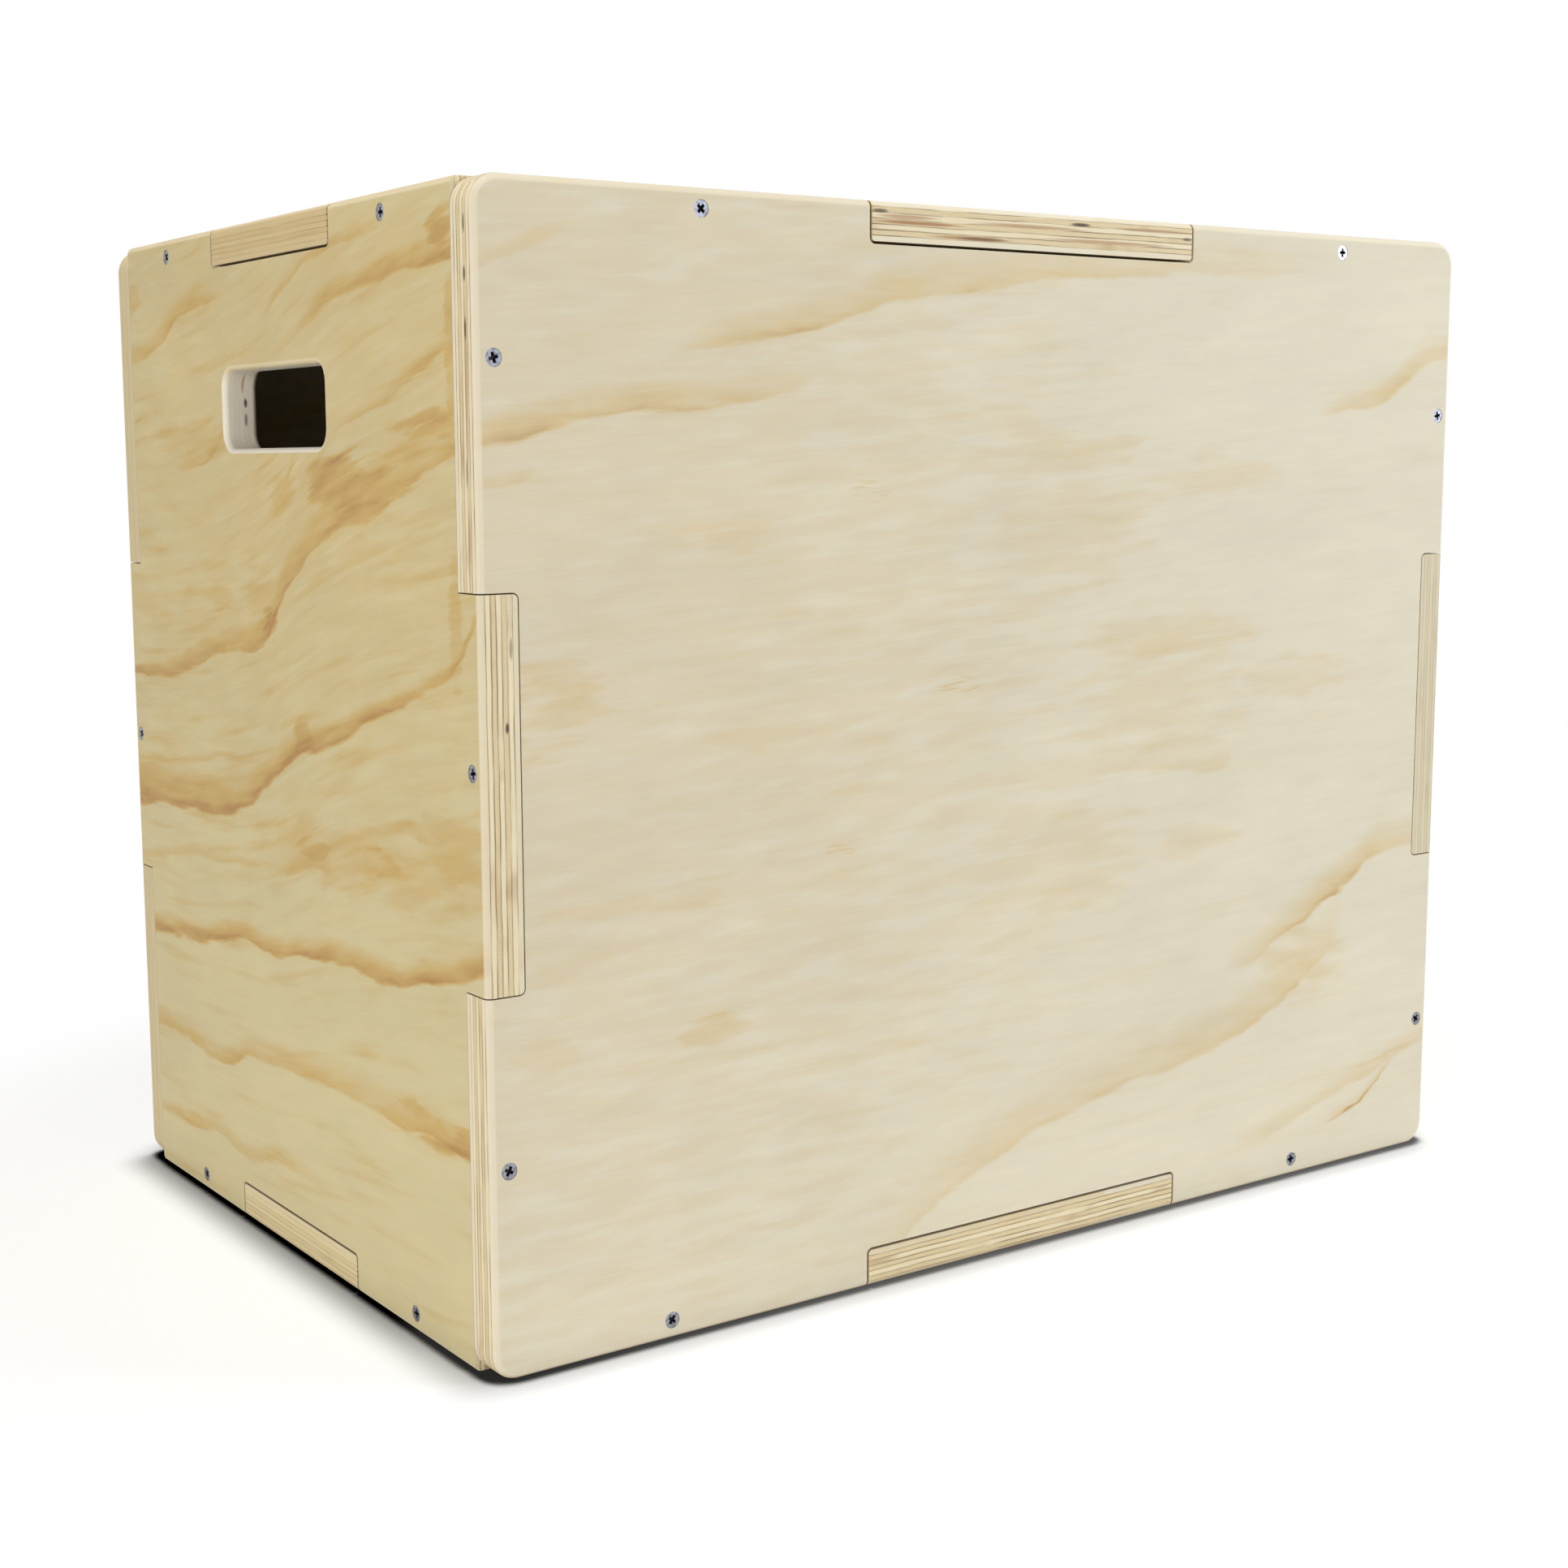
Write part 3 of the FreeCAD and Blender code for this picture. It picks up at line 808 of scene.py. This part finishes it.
def edge_grain(recipe, spot, seed):
    """The colour of the panel's edges, and a share that is 1 inside the two face veneers."""
    thickness = spot.sizes[2]
    ply = thickness / PLY_COUNT
    wave = even_noise(recipe, spot, PLY_WAVE_LENGTH, seed + 9)
    level = (spot.depth + wave * PLY_WAVE) / ply
    layer = recipe.math("FLOOR", level)
    from_glue = (0.5 - abs(recipe.math("FRACT", level) - 0.5)) * ply
    odd = recipe.math("MODULO", layer, 2)
    upright_edge = recipe.rise(spot.side_facing - spot.end_facing, -EDGE_TURN, EDGE_TURN)
    cut_share = abs(odd - upright_edge)
    colour = recipe.mix(cut_share, LONG_GRAIN, CUT_GRAIN)
    brown_noise = even_noise(recipe, spot, BROWN_SIZE, layer * BROWN_SEED_STEP + seed)
    brown = recipe.rise(brown_noise, BROWN_START, BROWN_END)
    colour = recipe.mix(brown * BROWN_SHARE, colour, BROWN_GRAIN)
    streak_place = spot.depth / EDGE_STREAK_DEPTH + seed
    streak = even_noise(recipe, spot, EDGE_STREAK_LENGTH, streak_place, detail=3)
    speckle = even_noise(recipe, spot, SPECKLE_SIZE, spot.depth / SPECKLE_SIZE + seed)
    lightness = 1 + streak * EDGE_STREAK_SHARE + speckle * cut_share * SPECKLE_SHARE
    colour = recipe.scale(colour, lightness)
    glue_noise = even_noise(recipe, spot, GLUE_CHANGE_SIZE, layer * GLUE_SEED_STEP + seed)
    glue_change = recipe.rise(glue_noise, GLUE_CHANGE_START, GLUE_CHANGE_END)
    glue = recipe.rise(from_glue, GLUE_WIDTH, 0) * glue_change
    colour = recipe.mix(glue, colour, GLUE_COLOUR)
    from_face = thickness / 2 - abs(spot.depth - thickness / 2)
    return colour, recipe.rise(from_face, ply, ply * FACE_CORE_SHARE)


print("plies in the thickness of a panel:", PLY_COUNT)

# %% [markdown]
# ## Voids, stains and tints
# Where an inner sheet has a gap, the edge shows a dark void, and some sheets have brown stains. Noise
# could scatter them, but in the picture each has its place, so they are listed ovals. The ends of
# the tabs also differ in tone from panel to panel, as sheets of plywood do, and a tint gives them that.

# %% Marks on the edges
MARK_DEPTH_REACH = 1.1
MARK_CORE_SHARE = 0.1
VOID_COLOUR = srgb(62, 38, 22)
STAIN_COLOUR = srgb(176, 128, 84)


def marked(recipe, spot, colour, marks, mark_colour):
    """An edge's colour with dark marks on it."""
    for across, up, depth, length, share in marks:
        sides = [
            (spot.across, across, length),
            (spot.up, up, length),
            (spot.depth, depth, MARK_DEPTH_REACH),
        ]
        mark = recipe.rise(oval_distance(sides), 1, MARK_CORE_SHARE)
        colour = recipe.mix(mark * share, colour, mark_colour)
    return colour


# Voids and stains: across, up and depth of the middle, half the length, and the share of dark
EDGE_VOIDS = {
    "front_panel": [
        (0, 488, 7, 5, 0.7),
        (0, 468, 7, 4, 0.9),
        (0, 446, 7, 6, 0.9),
        (0, 388, 8, 8, 0.5),
    ],
    "left_panel": [
        (406, 283, 12, 3, 0.9),
        (406, 316, 14.4, 6, 0.5),
        (144.5, 422.6, 11.5, 3, 0.9),
        (144.5, 414.3, 11.5, 4, 0.65),
    ],
    "top_panel": [
        (331, 0, 4.5, 8, 0.9),
        (269, 0, 14.3, 18, 0.55),
        (208, 0, 4.5, 6, 0.8),
        (403, 0, 8, 4, 0.7),
    ],
}
EDGE_STAINS = {
    "front_panel": [
        (0, 425, 7, 40, 0.6),
        (0, 362, 7, 14, 0.6),
    ],
    "left_panel": [
        (144.5, 433, 10, 7, 0.6),
    ],
    "top_panel": [
        (230, 0, 9, 32, 0.95),
        (224, 0, 6.5, 22, 0.7),
        (262, 0, 14.3, 30, 0.8),
        (300, 0, 7, 40, 0.7),
        (350, 0, 12, 50, 0.7),
        (380, 0, 5, 30, 0.6),
        (0, 160, 12, 26, 0.5),
    ],
}

# Tints: the colour and its share
EDGE_TINTS = {
    "back_panel": (srgb(212, 194, 148), 0.75),
    "right_panel": (srgb(206, 195, 167), 0.6),
    "top_panel": (srgb(206, 179, 122), 0.75),
    "bottom_panel": (srgb(226, 206, 154), 0.6),
}
print("voids drawn on the edges:", sum(map(len, EDGE_VOIDS.values())))
print("stains drawn on the edges:", sum(map(len, EDGE_STAINS.values())))

# %% [markdown]
# ## Plywood
# The finish of one panel puts these together: face veneer within the outer sheets, edge grain between
# them. Where an upright edge or the lowest one is rounded, the wood is paler: partly wood bared by
# sanding, partly a painted highlight where those edges catch the light. The hand slot's walls and the
# lower part of its rim are painted pale, as painted light against the shade inside the slot and as a
# painted highlight on the rim. In the joints' gaps and other narrow crevices, Ambient Occlusion paints
# shade onto the wood. Raw wood scatters light, so the surface is rough, a little less so on the hard
# dark lines.

# %% Plywood finish
FLAT_FACING = 0.999
ROUND_FACING = 0.95
# Pale arrises: partly wood bared by sanding, partly a painted highlight, taken off the level arrises above
# the lowest
PALE_ARRIS_AND_HIGHLIGHT_COLOUR = srgb(240, 228, 201)
ARRIS_PALE_AND_HIGHLIGHT_SHARE = 0.7
LEVEL_ARRIS_HIGHLIGHT_LOSS = 0.9
ARRIS_HIGHLIGHT_LOSS_START = 5
ARRIS_HIGHLIGHT_LOSS_END = 25
SLOTTED_PANELS = ("left_panel", "right_panel")
# Painted light round the hand slot: paler walls against the shade inside it, and a painted highlight on the
# lower rim
SLOT_MIDDLE = (203, 419)
SLOT_SURROUND = (90, 45)
SLOT_LIGHT_FADE_END = 1.1
SLOT_PAINTED_LIGHT_COLOUR = srgb(246, 237, 220)
SLOT_PAINTED_LIGHT_SHARE = 0.85
RIM_HIGHLIGHT_START = 431
RIM_HIGHLIGHT_END = 439
TINT_START = 0.4
TINT_END = 0.9
# Painted shade: wood in joint gaps and other narrow crevices is darkened towards this colour
GAP_SHADE_COLOUR = srgb(122, 94, 56)
GAP_SHADE = {"reach": 0.003, "start": 0.6, "end": 0.2, "samples": 4}
GAP_SHADE_SHARE = 0.6
FIBRE_RELIEF = 0.00012
FIBRE_STRENGTH = 0.3
WOOD_ROUGHNESS = 0.68
LINE_SMOOTHNESS = 0.1
FIBRE_ROUGHNESS = 0.06


def sanded_and_painted_light(recipe, panel, spot, face_colour, edge_colour):
    """The colours of the face and the edges: pale arrises, partly sanded wood and partly painted highlight,
    and painted light on a hand slot's walls and rim.
    """
    rounded = recipe.rise(spot.out_facing, FLAT_FACING, ROUND_FACING)
    # Painted highlight and sanded paleness on rounded arrises, kept off the level ones above the lowest
    arris_highlight_loss = recipe.rise(spot.up, ARRIS_HIGHLIGHT_LOSS_START, ARRIS_HIGHLIGHT_LOSS_END) * LEVEL_ARRIS_HIGHLIGHT_LOSS
    arris_pale_and_highlight_share = rounded * (1 - arris_highlight_loss * spot.end_facing) * ARRIS_PALE_AND_HIGHLIGHT_SHARE
    face_colour = recipe.mix(arris_pale_and_highlight_share, face_colour, PALE_ARRIS_AND_HIGHLIGHT_COLOUR)
    if panel in SLOTTED_PANELS:
        # Painted light on the slot's walls, and a painted highlight on its rim below the top
        slot_distance = oval_distance(zip((spot.across, spot.up), SLOT_MIDDLE, SLOT_SURROUND))
        slot_painted_light_mask = recipe.rise(slot_distance, SLOT_LIGHT_FADE_END, 1)
        edge_colour = recipe.mix(slot_painted_light_mask * SLOT_PAINTED_LIGHT_SHARE, edge_colour, SLOT_PAINTED_LIGHT_COLOUR)
        rim_highlight_share = slot_painted_light_mask * rounded * recipe.rise(spot.up, RIM_HIGHLIGHT_END, RIM_HIGHLIGHT_START)
        face_colour = recipe.mix(rim_highlight_share * SLOT_PAINTED_LIGHT_SHARE, face_colour, SLOT_PAINTED_LIGHT_COLOUR)
    return face_colour, edge_colour


def plywood(panel, shades, streak_share, seed):
    """The finish of one panel."""
    material, recipe = start_material(f"{panel}_plywood")
    spot = Spot(recipe, panel)
    if panel in DRAWINGS:
        figure = drawn_figure(recipe, spot, DRAWINGS[panel], seed)
    else:
        figure = ring_figure(recipe, spot, RING_DARKNESS[panel], seed)
    face_colour, fibre = veneer(recipe, spot, figure, shades, streak_share, seed)
    edge_colour, face_share = edge_grain(recipe, spot, seed)
    face_colour, edge_colour = sanded_and_painted_light(recipe, panel, spot, face_colour, edge_colour)
    edge_colour = marked(recipe, spot, edge_colour, EDGE_STAINS.get(panel, ()), STAIN_COLOUR)
    edge_colour = marked(recipe, spot, edge_colour, EDGE_VOIDS.get(panel, ()), VOID_COLOUR)
    colour = recipe.mix(face_share, edge_colour, face_colour)
    if panel in EDGE_TINTS:
        tint, tint_share = EDGE_TINTS[panel]
        sideways = recipe.rise(spot.side_facing, TINT_START, TINT_END)
        colour = recipe.mix(sideways * tint_share, colour, tint)
    # Painted shade from Ambient Occlusion in the joints' gaps and other crevices
    colour = recipe.mix(hidden(recipe, **GAP_SHADE) * GAP_SHADE_SHARE, colour, GAP_SHADE_COLOUR)
    relief = {"Strength": FIBRE_STRENGTH, "Distance": FIBRE_RELIEF, "Height": fibre}
    bump = recipe.add("ShaderNodeBump", (), relief)
    roughness = WOOD_ROUGHNESS - figure * LINE_SMOOTHNESS + fibre * FIBRE_ROUGHNESS
    looks = {"Base Color": colour, "Roughness": roughness, "Normal": bump}
    shader = recipe.add("ShaderNodeBsdfPrincipled", (), looks)
    recipe.add("ShaderNodeOutputMaterial", (), {"Surface": shader})
    return material


print("an arris takes", ARRIS_PALE_AND_HIGHLIGHT_SHARE, "of the pale wood's colour, a slot's walls", SLOT_PAINTED_LIGHT_SHARE)

# %% [markdown]
# ## Dressing the panels
# The box is made from two sheets: the sides that have the hand slots are yellow pine, and the other four
# panels are pale pine. One material could serve all six, but then their noise would repeat from panel to
# panel. So each panel has its own, with its own seed, made by the same function.

# %% Dress the panels
YELLOW_PINE = (srgb(217, 202, 156), srgb(206, 174, 107), srgb(182, 137, 74))
PALE_PINE = (srgb(227, 217, 193), srgb(219, 196, 149), srgb(186, 147, 97))

# Each panel's shades, and how much of a streak's noise is added to its figure
PANEL_LOOKS = {
    "front_panel": (PALE_PINE, 0.12),
    "back_panel": (PALE_PINE, 0.2),
    "left_panel": (YELLOW_PINE, 0.3),
    "right_panel": (YELLOW_PINE, 0.3),
    "top_panel": (PALE_PINE, 0.2),
    "bottom_panel": (PALE_PINE, 0.2),
}
SEED_STEP = 20


def dress(node, material):
    """Give a node of the frame its finish."""
    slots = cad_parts[node].data.materials
    slots.clear()
    slots.append(material)


for number, (panel, look) in enumerate(PANEL_LOOKS.items()):
    dress(panel, plywood(panel, *look, number * SEED_STEP))
    print(f"{panel}: {len(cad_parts[panel].data.polygons)} faces dressed in plywood")

# %% [markdown]
# ## Zinc screws
# The screws are steel with a thin coat of bright zinc, which is a cool grey. Their cross recesses are
# real cuts, but so small that little light gets out of them, so the shade in them is painted as a near
# black colour. The depth below the panel's face tells the recess from the head's flat top.

# %% Zinc finish
ZINC = srgb(166, 168, 179)
WORN_ZINC = srgb(114, 116, 125)
WEAR_SIZE = 1.6
WEAR_START = -0.3
WEAR_END = 0.4
# Painted shade: the cross recesses are coloured near black
RECESS_SHADE_COLOUR = srgb(24, 24, 31)
RECESS_START = 0.45
RECESS_END = 0.8
ZINC_ROUGHNESS = 0.36
WEAR_ROUGHNESS = 0.2


def zinc(panel):
    """The finish of the screws in one panel."""
    material, recipe = start_material(f"{panel}_zinc")
    spot = Spot(recipe, panel)
    wear = even_noise(recipe, spot, WEAR_SIZE, spot.depth / WEAR_SIZE, detail=4)
    colour = recipe.mix(recipe.rise(wear, WEAR_START, WEAR_END), ZINC, WORN_ZINC)
    # Painted shade in the recess, which is also made non-metal
    recess_shade = recipe.rise(spot.depth, RECESS_START, RECESS_END)
    colour = recipe.mix(recess_shade, colour, RECESS_SHADE_COLOUR)
    roughness = ZINC_ROUGHNESS + wear * WEAR_ROUGHNESS
    looks = {"Base Color": colour, "Metallic": 1 - recess_shade, "Roughness": roughness}
    shader = recipe.add("ShaderNodeBsdfPrincipled", (), looks)
    recipe.add("ShaderNodeOutputMaterial", (), {"Surface": shader})
    return material


for panel in PANEL_DIRECTIONS:
    dress(f"{panel}_screws", zinc(panel))
print("screw groups finished in zinc:", len(PANEL_DIRECTIONS))

# %% [markdown]
